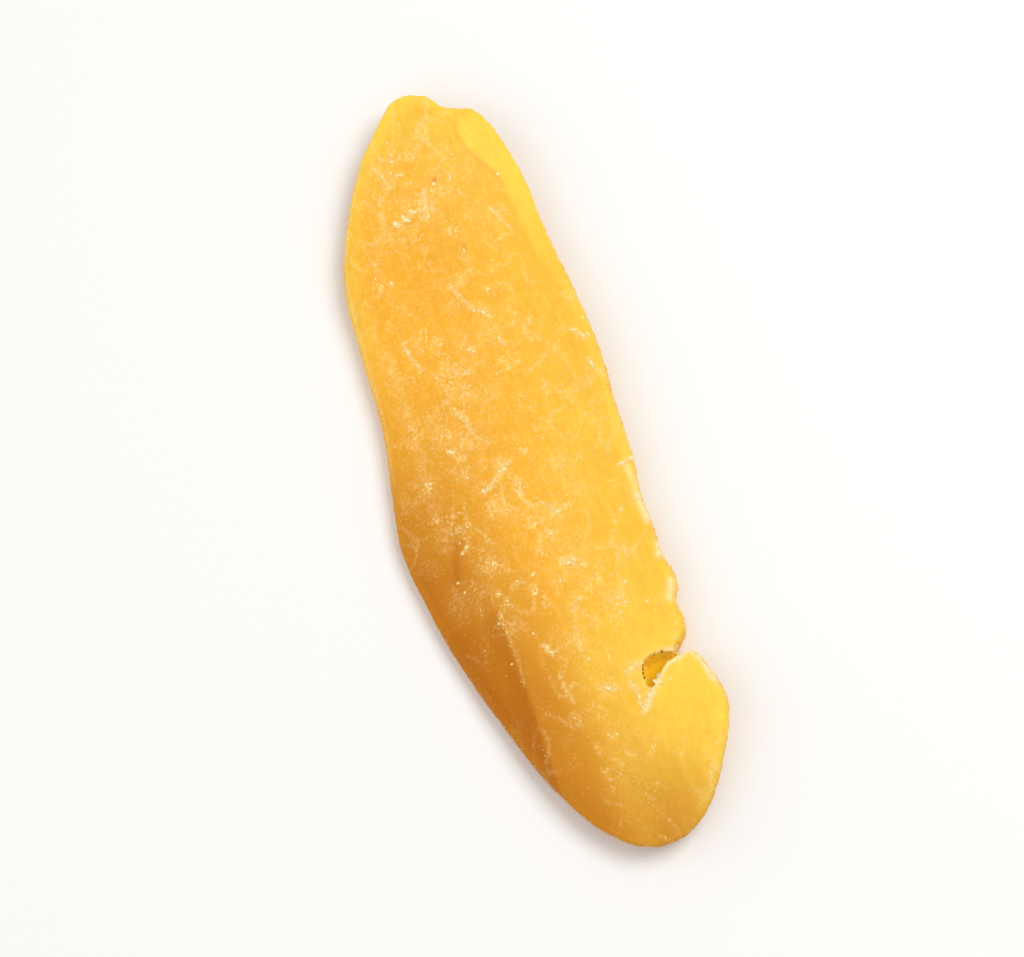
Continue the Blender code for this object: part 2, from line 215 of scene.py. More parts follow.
flesh = {
    "mergeGap": 0.001,
    "finerAbove": -0.3,        # faces that tilt up more than this are split once more
    "smoothing": 0.5,
    "wallBelow": 0.4,          # a vertex whose normal is more level than this lies on the side wall
    "leftWall": (-0.3, 2.0),   # highest x of the normal and of the place of those on the left wall
    "seed": 5,

    # Relief all over the face: size of the lumps along x, y and z, and how far they stand up.
    "relief": {
        "fibre": ((0.95, 9.0, 1.0), 0.05),
        "fineFibre": ((0.45, 3.0, 0.5), 0.03),
        "lump": ((3.4, 4.6, 3.0), 0.12),
        "pebble": ((1.2, 1.4, 1.2), 0.05),
        "grain": ((0.5, 0.5, 0.5), 0.03),
    },
    "reliefSeedStep": 3.3,      # takes each kind of relief from another place in the noise
    # The cut edge has dried into wrinkles that run round the slice.
    "wrinkles": (((3.0, 5.0, 1.0), 0.14), ((1.2, 1.8, 0.5), 0.07)),
    "wrinkleSeed": 44.0,
    "fibreBend": ((9.0, 22.0, 9.0), 31.7, 1.6),   # size of the bends, seed, how far they swing
    "pitCount": 420,
    "pitRadius": (0.25, 0.6),
    "pitDepth": (0.05, 0.17),

    # Lumps of noise, for what comes and goes over the face: size along x, y and z, seed.
    "lumps": {
        "ragged": ((0.9, 0.9, 0.9), 51.3),
        "patchLumps": ((2.6, 3.6, 2.6), 61.0),
        "underLumps": ((3.5, 6.0, 3.5), 27.0),
        "veinAreas": ((7.0, 9.0, 6.0), 14.2),
        "tornGrain": ((0.45, 0.45, 0.45), 71.9),
        "burrGrain": ((0.6, 0.6, 0.6), 83.1),
    },
    "veinMesh": ((3.4, 4.6, 3.0), 91.4),          # this one follows the fibres

    # How ragged the outlines are, as those of dried sugar and of scars.
    "raggedness": {"marks": 0.45, "clouds": 0.5, "stripe": 0.5, "rims": 0.3},
    "markLift": 0.45,           # share of a raised mark's height that is worked in
    "creaseShade": 3.0,         # painted shade: how much darker a crease is drawn for each millimetre of its depth

    # Marks that the photo shows on the face: line, half width, height, whiteness of the dried sugar.
    "marks": {
        "humpCrease": (((5.0, 57.6), (5.8, 56.4), (7.3, 56.5)), 0.45, -0.12, 0.0),
        "crumbTrail": (
            ((1.3, 41.4), (0.2, 42.4), (-1.0, 42.7), (-2.1, 42.0), (-3.9, 41.5)), 0.45, 0.1, 0.6),
        "smearOverTrail": (((0.7, 41.2), (1.3, 42.2), (1.2, 43.6), (1.8, 45.0)), 0.5, 0.06, 0.95),
        "smearAcross": (((0.5, 43.4), (1.8, 43.1)), 0.35, 0.05, 0.8),
        "smearBeside": (((1.9, 41.5), (2.1, 43.0)), 0.35, 0.05, 0.8),
        "pinhole": (((3.8, 46.3),), 0.36, -0.7, 0.0),
        "pitBelowTrail": (((-2.6, 41.0), (-1.2, 41.2)), 0.35, -0.2, 0.0),
        "shoulderSmear": (((-3.5, 49.4), (-3.3, 47.4)), 0.5, 0.06, 0.65),
        "shoulderStroke": (((-4.8, 46.6), (-5.1, 45.2)), 0.4, 0.05, 0.5),
        "topDash": (((-1.4, 48.9), (-0.5, 48.5)), 0.25, 0.08, 0.8),
        "topDot": (((-1.2, 52.1), (-1.3, 50.9)), 0.3, 0.06, 0.6),
        "centreDash": (((4.2, 44.6), (4.3, 43.4)), 0.3, 0.06, 0.7),
        "sideDash": (((6.3, 46.6), (6.0, 45.6)), 0.25, 0.06, 0.6),
        "faintLevel": (((-6.5, 40.2), (-4.2, 40.2), (-2.6, 40.9)), 0.3, 0.05, 0.5),
        "ovalPit": (((4.6, 34.9), (4.4, 34.1)), 0.35, -0.28, 0.6),
        "shortStroke": (((-1.4, 34.6), (-0.9, 32.9)), 0.2, 0.08, 0.4),
        "leftStroke": (((-10.1, 31.9), (-9.0, 32.4)), 0.2, 0.06, 0.4),
        "lowLeftStroke": (((-12.3, 32.0), (-11.6, 30.7)), 0.25, 0.08, 0.5),
        "paleStroke": (((10.3, 39.2), (10.8, 38.2), (11.2, 37.2), (11.9, 35.8)), 0.28, 0.1, 0.4),
        "upperCurve": (((0.7, 29.8), (1.6, 27.8), (2.6, 25.8), (3.5, 25.0), (4.6, 24.8)), 0.35, 0.1, 0.7),
        "curveBranch": (((3.5, 25.0), (4.3, 24.1), (4.8, 23.2)), 0.35, 0.1, 0.8),
        "curveTail": (((4.8, 20.0), (5.2, 19.3), (5.8, 18.5)), 0.3, 0.08, 0.7),
        "crescentScar": (((-8.6, 23.6), (-8.5, 22.0), (-8.1, 20.6), (-7.5, 18.9)), 0.36, 0.15, 0.85),
        "besideCrescent": (((-6.7, 23.5), (-6.1, 21.6)), 0.22, 0.07, 0.4),
        "leftDash": (((-12.6, 22.0), (-11.4, 22.5), (-10.9, 21.4)), 0.25, 0.06, 0.5),
        "middleBlob": (((0.4, 20.0), (0.9, 19.0)), 0.4, 0.08, 0.8),
        "cross": (((-3.4, 17.8), (-2.6, 16.8), (-1.6, 16.5), (-0.4, 16.2)), 0.4, 0.07, 0.75),
        "crossArm": (((-1.9, 17.4), (-2.6, 16.8)), 0.35, 0.07, 0.6),
        "underCross": (((-2.6, 15.0), (-2.0, 13.9), (-3.3, 12.7)), 0.45, 0.06, 0.55),
        "upright": (((-5.0, 14.8), (-4.7, 13.4)), 0.3, 0.05, 0.6),
        "edgeStroke": (((15.4, 17.3), (16.3, 16.6), (17.0, 15.4)), 0.3, 0.12, 0.9),
        "edgeStrokeLow": (((16.5, 12.0), (16.8, 10.6)), 0.4, 0.1, 0.7),
        "marginArc": (((-15.6, 9.8), (-14.8, 9.3), (-13.9, 9.1)), 0.2, 0.06, 0.4),
        "midScar": (((-4.9, 11.2), (-4.1, 10.1), (-3.5, 9.5), (-3.6, 8.2)), 0.42, 0.12, 0.9),
        "midScarTail": (((-3.6, 7.4), (-2.6, 6.2), (-1.6, 5.0)), 0.3, 0.08, 0.6),
        "leftKnot": (((-7.6, 5.9), (-7.0, 5.3)), 0.35, 0.1, 0.8),
        "crossScar": (((-4.7, -2.0), (-3.4, -1.5), (-2.0, -0.5), (-1.0, 0.3), (0.3, 1.2)), 0.45, 0.17, 0.95),
        "crossScarShort": (((-1.2, 1.9), (-0.6, 0.2)), 0.4, 0.13, 0.8),
        "crossScarFoot": (((-5.6, 5.0), (-5.3, 1.0), (-5.5, -0.9)), 0.25, 0.06, 0.35),
        "smallHook": (((0.9, -2.0), (0.6, -3.3), (0.3, -4.6), (1.0, -5.8)), 0.3, 0.07, 0.7),
        "netStrand": (((1.4, -6.8), (2.0, -8.8), (2.5, -11.2), (2.9, -12.6)), 0.3, 0.06, 0.5),
        "netBranch": (((3.1, -6.4), (4.0, -7.8), (5.0, -8.5), (6.6, -7.8)), 0.4, 0.07, 0.7),
        "whiteTip": (((-9.6, -9.0), (-10.6, -9.6)), 0.35, 0.15, 0.9),
        "foldBelowTip": (((-10.8, -8.2), (-11.8, -10.4), (-12.7, -13.2)), 0.8, -0.16, 0.0),
        "ridgeFaint": (((-10.5, -14.0), (-10.6, -16.5), (-10.8, -19.5)), 0.2, 0.07, 0.5),
        "ridgeTop": (((-8.9, -21.6), (-8.2, -20.3), (-7.5, -19.8)), 0.3, 0.1, 0.6),
        "ridgeKnots": (((-8.1, -20.4), (-8.3, -22.6), (-8.1, -24.2)), 0.24, 0.14, 0.6),
        "ridgeCrest": (
            ((-8.1, -23.6), (-8.0, -25.6), (-7.9, -27.8), (-8.2, -30.2), (-8.3, -31.6)), 0.2, 0.14, 0.54),
        "starScar": (((2.8, -15.4), (3.5, -16.4), (4.5, -16.4), (4.6, -15.2)), 0.4, 0.1, 0.9),
        "starScarTail": (((5.0, -16.8), (6.0, -17.6)), 0.35, 0.08, 0.7),
        "lowBlob": (((2.0, -23.8), (2.3, -22.4), (3.2, -21.7)), 0.35, 0.07, 0.7),
        "smearUpper": (((-3.6, -26.8), (-2.9, -28.5)), 0.45, 0.1, 0.9),
        "smearSide": (((-2.9, -28.2), (-1.2, -28.0), (1.0, -27.0), (1.9, -24.6)), 0.3, 0.05, 0.5),
        "smearLower": (((-3.0, -31.6), (-2.9, -33.2), (-2.4, -36.2)), 0.35, 0.08, 0.6),
        "lowSmear": (((-2.9, -38.0), (-2.6, -39.6)), 0.5, 0.06, 0.5),
        "tearStreak": (((2.1, -35.5), (3.1, -36.1), (4.2, -36.6)), 0.45, 0.1, 0.9),
        "tearScratch": (((6.4, -36.2), (6.8, -37.4), (6.9, -38.8), (6.7, -40.4)), 0.3, 0.1, 0.8),
        "tearUpperSmear": (((6.2, -34.7), (7.4, -34.3), (8.8, -33.9)), 0.4, 0.08, 0.8),
        "edgeBevel": (((16.1, -9.4), (16.5, -11.6), (16.7, -14.2)), 0.5, -0.04, 0.5),
        "edgeTag": (((15.2, -4.9), (16.6, -4.8), (17.6, -4.3)), 0.3, 0.16, 0.7),
        "lobeTab": (((16.6, -24.6), (16.4, -26.0)), 0.6, 0.12, 0.3),
        "flapLeftRim": (((10.6, -37.2), (9.6, -38.1), (8.4, -39.2), (7.3, -40.6)), 0.5, -0.06, 0.7),
        "closedLip": (((7.9, -39.1), (7.3, -39.9), (6.8, -40.8)), 0.22, -0.14, 0.0),
        "lipBlob": (((6.7, -41.1), (6.9, -41.5)), 0.3, 0.08, 0.8),
        "flapRightRim": (((15.8, -34.8), (17.0, -35.4), (17.7, -37.8), (18.3, -41.0)), 0.4, -0.06, 0.55),
        "flapMouth": (((14.6, -35.4), (16.2, -34.9)), 0.35, 0.06, 0.5),
        # painted highlight along the tear's upper lip, drawn as whitish sugar
        "upperLipHighlight": (((11.6, -33.2), (13.2, -33.6), (14.4, -33.5)), 0.2, 0.05, 0.6),
    },
    "threadAbove": 0.55,       # whiter marks than this also get threads of sugar

    # Soft clouds of dried sugar: x, y, radius, whiteness.
    "cloudStrength": 0.8,
    "clouds": (
        (-1.2, 51.4, 1.2, 0.4), (-3.2, 49.2, 1.2, 0.6), (-3.6, 47.6, 1.2, 0.4), (-4.8, 45.8, 1.2, 0.5),
        (-7.0, 46.2, 1.4, 0.35), (2.8, 52.0, 1.6, 0.35), (5.0, 50.4, 1.0, 0.35), (2.4, 51.0, 0.6, 0.5),
        (4.3, 44.6, 1.2, 0.5), (6.3, 46.2, 0.9, 0.45), (1.1, 42.4, 1.7, 0.95), (1.8, 44.8, 1.0, 0.5),
        (-1.6, 44.4, 1.4, 0.5), (-5.6, 40.3, 1.6, 0.4), (-1.0, 40.6, 1.2, 0.5), (-3.9, 39.0, 0.7, 0.5),
        (6.5, 39.3, 0.6, 0.4), (5.8, 27.6, 0.6, 0.6), (4.2, 24.4, 1.0, 0.7), (0.7, 19.4, 0.9, 0.7),
        (5.6, 22.4, 1.2, 0.35), (-2.6, 17.2, 1.3, 0.6), (-0.6, 16.6, 1.0, 0.5), (1.4, 17.2, 0.9, 0.4),
        (-2.4, 13.6, 1.5, 0.5), (-4.8, 14.6, 0.8, 0.45), (6.8, 18.3, 0.8, 0.35), (-7.6, 8.4, 2.2, 0.45),
        (-8.6, 11.4, 1.2, 0.45), (-7.2, 5.6, 0.6, 0.9), (-2.0, 5.6, 1.0, 0.5), (12.4, 6.8, 1.0, 0.35),
        (11.4, 8.2, 0.8, 0.3), (-6.6, 1.6, 1.2, 0.5), (-12.0, 1.9, 0.9, 0.9), (-12.2, 0.8, 1.6, 0.45),
        (-1.0, 1.0, 1.2, 0.6), (7.4, -1.8, 1.8, 0.5), (7.6, -2.8, 1.0, 0.4), (10.3, 2.4, 0.4, 0.5),
        (14.0, 2.6, 0.5, 0.5), (0.7, -3.2, 0.9, 0.6), (4.4, -8.3, 1.4, 0.7), (2.6, -11.2, 0.9, 0.6),
        (8.8, -6.0, 1.6, 0.4), (-3.0, -5.4, 1.8, 0.5), (-12.2, -6.2, 1.3, 0.5), (-6.8, -12.6, 0.8, 0.7),
        (-7.8, -12.4, 1.9, 0.45), (-9.6, -16.0, 1.6, 0.35), (4.2, -16.2, 1.2, 0.9), (5.6, -17.2, 0.9, 0.6),
        (1.4, -18.0, 0.9, 0.4), (8.6, -24.0, 1.8, 0.6), (9.4, -23.4, 1.2, 0.5), (10.4, -21.8, 0.7, 0.6),
        (2.2, -22.8, 0.9, 0.6), (3.4, -21.6, 0.9, 0.5), (-2.3, -18.9, 0.4, 0.8), (-1.8, -16.2, 0.4, 0.8),
        (-7.6, -17.3, 0.6, 0.8), (-6.7, -18.6, 0.5, 0.6), (-7.2, -22.6, 1.5, 0.55), (-13.2, -16.6, 2.0, 0.3),
        (0.8, -27.2, 1.6, 0.4), (1.9, -31.0, 0.5, 0.6), (-1.4, -30.2, 0.5, 0.4), (-2.8, -39.0, 1.0, 0.5),
        (1.4, -42.8, 0.5, 0.6), (3.6, -36.2, 0.8, 0.95), (2.5, -36.6, 0.6, 0.7), (6.6, -36.9, 0.6, 0.9),
        (7.2, -34.6, 1.1, 0.85), (8.2, -33.9, 0.7, 0.7), (8.0, 46.0, 4.5, 0.22),
        (-4.2, 6.6, 2.6, 0.5), (4.0, 21.4, 1.9, 0.4), (4.4, 46.2, 2.0, 0.35), (8.2, 38.6, 3.2, 0.22),
        (-3.9, 46.6, 2.0, 0.35), (0.2, 12.0, 2.4, 0.32), (-0.2, 21.0, 2.0, 0.3), (4.2, -16.0, 3.0, 0.3),
        (7.0, -41.0, 0.8, 0.5), (10.9, -47.2, 0.6, 0.3), (-16.0, 1.4, 1.0, 0.3), (-16.2, -9.4, 1.4, 0.2),
        (12.8, -25.6, 0.4, 0.7), (13.5, -11.3, 0.4, 0.7), (-14.0, 2.8, 0.7, 0.4), (-8.0, 2.8, 0.7, 0.4),
    ),
    # A stripe of whitish specks runs down the slice beside its left margin: line, half width, whiteness.
    "speckStripe": (((-12.0, 23.0), (-11.6, 17.5), (-11.7, 8.0), (-12.3, 1.5), (-12.6, -8.0)), 0.9, 0.28),

    # The upper right edge, where the skin was peeled off: smooth and bright.
    "peelLine": (
        (13.0, 54.6), (10.1, 54.4), (9.5, 53.4), (9.5, 51.6), (10.1, 49.5), (11.0, 47.8), (11.9, 46.1),
        (12.8, 44.5), (13.2, 42.5), (13.5, 38.0), (14.0, 33.0), (15.0, 26.0), (16.4, 18.0)),
    "peelOutside": ((30.0, 18.0), (30.0, 54.6)),
    "peelSharpens": (40.0, 46.0),     # y over which its border goes from soft to sharp
    # Measures across that border: what is measured, and the border's width where soft and where sharp.
    "peelWidths": {"peelAcross": ("peelSide", 1.1, 0.2), "stepAcross": ("fromPeel", 0.8, 0.35)},

    # Smooth whitish lines: the rims of torn flesh, a painted highlight along the tear's upper lip, and last
    # a pale stroke by the peeled edge.
    # Line, half width, whiteness.
    "softRims": (
        (((10.8, -37.0), (10.1, -37.7), (9.1, -38.5), (8.2, -39.4), (7.3, -40.7)), 0.5, 1.0),
        (((14.8, -35.0), (15.8, -34.7), (16.8, -35.5), (17.5, -37.4), (18.0, -40.0)), 0.5, 1.0),
        # painted highlight along the tear's upper lip
        (((12.7, -33.5), (13.6, -33.6), (14.4, -33.5)), 0.3, 0.9),
        (((16.5, -5.6), (16.9, -7.5), (16.6, -9.8)), 0.6, 0.4),
        (((16.6, -10.2), (16.7, -12.2), (16.9, -14.0)), 0.55, 1.0),
        (((16.9, -17.6), (16.8, -19.0), (16.6, -19.8)), 0.4, 1.0),
        (((16.9, -24.0), (16.3, -25.6), (16.0, -26.2)), 0.6, 0.7),
        (((10.3, 39.2), (10.8, 38.2), (11.2, 37.2)), 0.26, 0.55),
        (((11.2, 37.2), (11.9, 35.8), (12.4, 34.4)), 0.16, 0.35),
    ),

    # Away from the left edge the flesh goes from amber to yellow: distance and share of amber. The amber is
    # partly the flesh's own colour and partly painted shade, darker towards the lower left.
    "amberFade": (
        (0.0, 1.2, 4.0, 8.0, 10.0, 13.0, 16.0, 20.0),
        (0.76, 0.88, 0.76, 0.6, 0.44, 0.27, 0.1, 0.0)),
    # Up the slice the amber goes: y and share.
    "amberUp": ((-44.0, -34.0, -12.0, -2.0, 8.0, 22.0), (0.85, 1.0, 1.0, 0.72, 0.3, 0.0)),
    # The crest of the long ridge at the lower left, and on up the slice.
    "foldLine": (
        (-12.5, 28.0), (-12.3, 5.0), (-12.2, -6.0), (-10.8, -15.0), (-8.4, -19.0), (-8.0, -33.0),
        (-8.6, -64.0)),

    "lipInside": 0.2,           # the tear's lip reaches this far in over the pit
    "tearLoop": (
        (14.6, -33.8), (13.8, -33.9), (12.9, -33.9), (12.3, -33.4), (11.2, -33.4), (10.2, -33.6),
        (9.3, -34.1), (8.8, -34.9), (8.6, -35.8), (8.5, -36.7), (8.3, -37.7), (8.9, -38.2), (9.6, -37.9),
        (10.1, -37.2), (10.8, -36.7), (11.5, -36.1), (12.3, -35.6), (13.5, -35.3), (14.6, -35.1)),
    "flapLoop": (
        (7.2, -41.0), (8.0, -39.6), (8.9, -38.4), (9.6, -37.9), (10.8, -36.7), (11.5, -36.1), (12.3, -35.6),
        (14.6, -35.1), (20.0, -34.0), (20.0, -47.0), (8.0, -47.0)),

    # Areas of the face. An area is the product of its parts: of areas before it, and of ramps and
    # humps over a measure. The measures are x and y, the tilt (z of the normal), the level (the tilt
    # without its sign), the distances and sides that measureFace works out, and the lumps.
    "areas": {
        "upper": ((ramp, "tilt", -0.2, 0.5),),
        "under": ((ramp, "tilt", -0.2, -0.7),),
        "steep": ((ramp, "tilt", 0.4, 0.0),),
        "wall": ((ramp, "level", 0.75, 0.3),),
        "margin": ((ramp, "fromLeft", 2.6, 0.0),),
        "rightHalf": ((ramp, "x", -4.0, 15.0),),
        # painted light: the thin right edge, drawn paler as if light came through it
        "rightEdge": ((ramp, "fromEdge", 2.4, 0.2), (ramp, "x", -4.0, 8.0)),
        "leftRim": ((ramp, "y", 2.0, 8.0), (ramp, "y", 56.0, 48.0)),
        "lowMiddle": ((hump, "x", 0.8, 3.4), (ramp, "y", -20.0, -34.0)),
        # painted shade: the flesh left of the ridge's crest, turned away from the lamps, is drawn darker
        "leftOfFold": ((ramp, "foldSide", -0.1, 0.3), (ramp, "y", -18.0, -22.0)),
        "peeled": ("upper", (ramp, "peelAcross", -1.0, 1.0), (ramp, "y", 18.0, 36.0)),
        "peelStep": ("upper", (hump, "stepAcross", 0.0, 1.0), (ramp, "y", 18.0, 34.0)),
        "tornLip": ("outsidePit", (hump, "fromTear", 0.0, 0.5), (ramp, "x", 4.0, 8.0)),
        "burrs": ((ramp, "fromEdge", 0.9, -0.1), (ramp, "x", 8.0, 14.0)),
        "pit": ((ramp, "tearSide", -0.02, 0.2), (ramp, "tilt", -0.6, -0.2)),
    },
    # More areas, which keep off the calm ones. The veins of sugar are hair-fine on the real slice and
    # are drawn 0.3 mm wide, the least that shows.
    "roughAreas": {
        "veins": ("rough", (hump, "veinMesh", 0.0, 0.07), (ramp, "veinAreas", -0.1, 0.35)),
        "patches": ((ramp, "patchLumps", 0.12, 0.55),),
    },

    # What each of these is the sum of: shares, each an amount and the parts that it is multiplied by.
    "sums": {
        "calm": ((1.0, "peeled"), (0.7, "margin"), (0.6, "flap")),
        "push": (               # millimetres outwards
            (0.04, "veins"),
            (-0.04, "peelStep"),
            (-0.08, "peelStep", "sharpPeel"),
            (0.06, "tornLip", "tornGrain"),
            (0.06, "tornLip", "flap", "tornGrain"),
            (0.16, "burrs", "burrGrain"),
        ),
        "amber": (
            # painted shade left of the ridge
            (0.08, "leftOfFold"),
            (0.12, "leftOfFold", (hump, "foldSide", 0.8, 1.6)),
            # painted shadow: a dark line under the step at the peeled border
            (0.12, "sharpPeel", (hump, "peelSide", -0.3, 0.3)),
            # painted shade in creases and deep marks
            (0.3, "crease"),
            (0.06, (hump, "x", 0.5, 6.0), (hump, "y", 33.0, 7.0)),
        ),
        "pale": (
            (0.48, "rightHalf"),
            (-0.13, "rightHalf", (ramp, "y", 0.0, 15.0)),
            (0.35, (ramp, "y", 42.0, 58.0)),
            (0.27, (ramp, "y", -16.0, -36.0), (ramp, "x", -5.0, 4.0)),
            (0.1, "flap"),
            # painted light at the thin right edge, less of it lower down
            (0.3, "rightEdge"),
            (-0.2, "rightEdge", (ramp, "y", -4.0, -14.0)),
            (0.45, (ramp, "fromLeft", 4.0, 0.0), (ramp, "y", 12.0, 30.0)),   # painted light: the left margin, curving away from the lamps, drawn paler, as thin flesh lets light through
        ),
        # painted light: a thin pale line along the left rim, as light through the thin edge; and a paler
        # stripe down the lower middle
        "paleStripesAndRimLight": ((0.2, "leftRim", (hump, "fromLeft", 0.3, 0.22)), (0.2, "lowMiddle")),
        "torn": ((0.2, "tornLip"), (0.8, "tornLip", "flap")),
        "dust": ((0.25, "rough"), (0.7, "patches")),
    },
    # What each of these loses again, share by share.
    "losses": {
        "relief": ((0.65, "calm"),),
        "patches": ((0.85, "calm"),),
        "amber": ((0.2, "lowMiddle"),),
        "pale": ((0.6, "steep"),),
        "bloom": ((0.35, "amber"),),
        "cut": ((0.7, "peeled"),),
        "dust": (
            (0.4, (ramp, "x", 2.0, 9.0)),
            (0.6, (hump, "x", -4.2, 3.2), (ramp, "y", -12.0, -20.0)),
            (0.8, "crease"),
            (0.6, (ramp, "x", 9.0, 12.0), (ramp, "y", -8.0, -15.0), (ramp, "y", -34.0, -29.0)),
        ),
    },
    # painted light: the thin line along the left rim again, drawn as whitish bloom
    "paintedRimLight": (0.45, "leftRim", (hump, "fromLeft", 0.35, 0.25)),
    "underBloom": (0.6, "under", (ramp, "underLumps", 0.05, 0.45)),
    "veinWhiteness": 0.5,
    "layAbove": 0.3,            # sugar lies where the normal's z is more than this
    "leastDust": 0.12,          # share of the dust that even the most amber flesh keeps
    "peeledPaleness": 0.95,
}


def roundedCopy():  # the solid's mesh, merged, rounded and split finer where it shows
    merged = bmesh.new()
    merged.from_mesh(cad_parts["mango_slice"].data)
    bmesh.ops.remove_doubles(merged, verts=merged.verts[:], dist=flesh["mergeGap"] * mm)
    plain = addPiece("plainSlice", merged)
    rounding = plain.modifiers.new("rounding", "SUBSURF")
    rounding.levels = rounding.render_levels = 1
    fine = bmesh.new()
    fine.from_object(plain, bpy.context.evaluated_depsgraph_get())
    bpy.data.objects.remove(plain)

    fine.normal_update()
    shown = [e for e in fine.edges if any(f.normal.z > flesh["finerAbove"] for f in e.link_faces)]
    bmesh.ops.subdivide_edges(fine, edges=shown, cuts=1, use_grid_fill=True)
    bmesh.ops.smooth_vert(fine, verts=fine.verts[:], factor=flesh["smoothing"],
                          use_axis_x=True, use_axis_y=True, use_axis_z=True)
    bmesh.ops.triangulate(fine, faces=[f for f in fine.faces if len(f.verts) > 4])
    fine.normal_update()
    return fine


def edgeGap(places, walls):  # how far each place is from these wall vertices, seen from above
    tree = kdtree.KDTree(len(walls))
    for i in walls:
        tree.insert((places[i, 0], places[i, 1], 0.0), int(i))
    tree.balance()
    return np.array([tree.find((x, y, 0.0))[2] for x, y in places[:, :2]])


def shareOf(at, amount, *parts):  # an amount times areas, ramps and humps, at each vertex
    for part in parts:
        if isinstance(part, str):
            amount = amount * at[part]
        else:
            form, measure, *numbers = part
            amount = amount * form(at[measure], *numbers)
    return amount


def sumOf(at, name):
    return sum(shareOf(at, *share) for share in flesh["sums"][name])


def leftOf(at, name):  # what is left of 1 after the losses
    left = 1.0
    for share in flesh["losses"][name]:
        left = left * (1.0 - shareOf(at, *share))
    return left


def nearTo(at, gap, width, kind):  # 1 on a line or in a centre, and raggedly less beside it
    return np.exp(-(gap / width + flesh["raggedness"][kind] * at["ragged"]).clip(0.0) ** 2)


def sideOf(places, gap, loop):  # how far inside the loop each place is; less than 0 is outside
    return np.where(insideLoop(places, loop), gap, -gap)


def measureFace(places, normals):  # the measures and the areas, at each vertex
    turnLimit, placeLimit = flesh["leftWall"]
    walls = np.abs(normals[:, 2]) < flesh["wallBelow"]
    leftWalls = walls & (normals[:, 0] < turnLimit) & (places[:, 0] < placeLimit)
    fromPeel = lineDistance(places, flesh["peelLine"])
    fromTear = lineDistance(places, flesh["tearLoop"] + flesh["tearLoop"][:1])
    foldX, foldY = np.array(flesh["foldLine"]).T
    bendSize, bendSeed, bendWidth = flesh["fibreBend"]
    bent = places + np.outer(noiseField(places, bendSize, bendSeed), (bendWidth, 0.0, 0.0))
    at = {
        "bent": bent,
        "x": places[:, 0],
        "y": places[:, 1],
        "tilt": normals[:, 2],
        "level": np.abs(normals[:, 2]),
        "fromEdge": edgeGap(places, np.flatnonzero(walls)),
        "fromLeft": edgeGap(places, np.flatnonzero(leftWalls)),
        "fromPeel": fromPeel,
        "peelSide": sideOf(places, fromPeel, flesh["peelLine"] + flesh["peelOutside"]),
        "foldSide": np.interp(-places[:, 1], -foldY, foldX) - places[:, 0],
        "fromTear": fromTear,
        "tearSide": sideOf(places, fromTear, flesh["tearLoop"]),
        "flap": insideLoop(places, flesh["flapLoop"]).astype(float),
        "veinMesh": noiseField(bent, *flesh["veinMesh"]),
    }
    at["outsidePit"] = (at["tearSide"] <= flesh["lipInside"]).astype(float)
    at["sharpPeel"] = ramp(at["y"], *flesh["peelSharpens"])
    for name, (measure, soft, sharp) in flesh["peelWidths"].items():
        at[name] = at[measure] / (soft + (sharp - soft) * at["sharpPeel"])
    for name, (size, seed) in flesh["lumps"].items():
        at[name] = noiseField(places, size, seed)
    for name, parts in flesh["areas"].items():
        at[name] = shareOf(at, 1.0, *parts)
    at["calm"] = sumOf(at, "calm").clip(0.0, 1.0)
    at["rough"] = 1.0 - at["calm"]
    for name, parts in flesh["roughAreas"].items():
        at[name] = shareOf(at, 1.0, *parts)
    at["patches"] *= leftOf(at, "patches")
    return at


def reliefPush(places, at):  # fibres, lumps, wrinkles and pits, in millimetres outwards
    push = np.zeros(len(places))
    for number, (size, height) in enumerate(flesh["relief"].values()):
        push += height * noiseField(at["bent"], size, flesh["reliefSeedStep"] * number)
    push *= leftOf(at, "relief")
    for size, height in flesh["wrinkles"]:
        push += at["wall"] * height * noiseField(places, size, flesh["wrinkleSeed"])

    rng = np.random.default_rng(flesh["seed"])
    for _ in range(flesh["pitCount"]):
        i = rng.integers(len(places))
        radius = rng.uniform(*flesh["pitRadius"])
        depth = rng.uniform(*flesh["pitDepth"])
        away = np.linalg.norm(places - places[i], axis=1)
        push -= at["level"][i] * depth * hump(away, 0.0, radius)
    return push


def markPush(places, at):  # scars and smears; how white and how creased they are goes into at
    push, bloom, crease = np.zeros((3, len(places)))
    for line, width, height, whiteness in flesh["marks"].values():
        near = nearTo(at, lineDistance(places, line), width, "marks")
        push += at["upper"] * near * (height if height < 0.0 else flesh["markLift"] * height)
        crease = np.maximum(crease, -flesh["creaseShade"] * height * near * at["upper"])
        bloom = np.maximum(bloom, whiteness * near)
    at["crease"] = crease.clip(0.0, 1.0)    # painted shade: a deep mark is drawn darker
    at["markBloom"] = bloom
    return push


def sugarBloom(places, at):  # how white the flesh is with dried sugar, and with painted rim light along the left edge
    bloom = at["markBloom"]
    for cloudX, cloudY, radius, whiteness in flesh["clouds"]:
        gap = np.hypot(at["x"] - cloudX, at["y"] - cloudY)
        bloom = np.maximum(bloom, flesh["cloudStrength"] * whiteness * nearTo(at, gap, radius, "clouds"))
    line, width, whiteness = flesh["speckStripe"]
    bloom = np.maximum(bloom, whiteness * nearTo(at, lineDistance(places, line), width, "stripe"))
    bloom = np.maximum(bloom, shareOf(at, *flesh["paintedRimLight"])) * at["upper"]
    bloom = np.maximum(bloom, shareOf(at, *flesh["underBloom"]))
    return np.maximum(bloom, flesh["veinWhiteness"] * at["veins"])


def tornRims(places, at):  # torn flesh is rough and whitish at the lips and at the right edge
    torn = sumOf(at, "torn")
    for line, width, whiteness in flesh["softRims"]:
        torn = np.maximum(torn, whiteness * nearTo(at, lineDistance(places, line), width, "rims"))
    return torn * at["upper"]


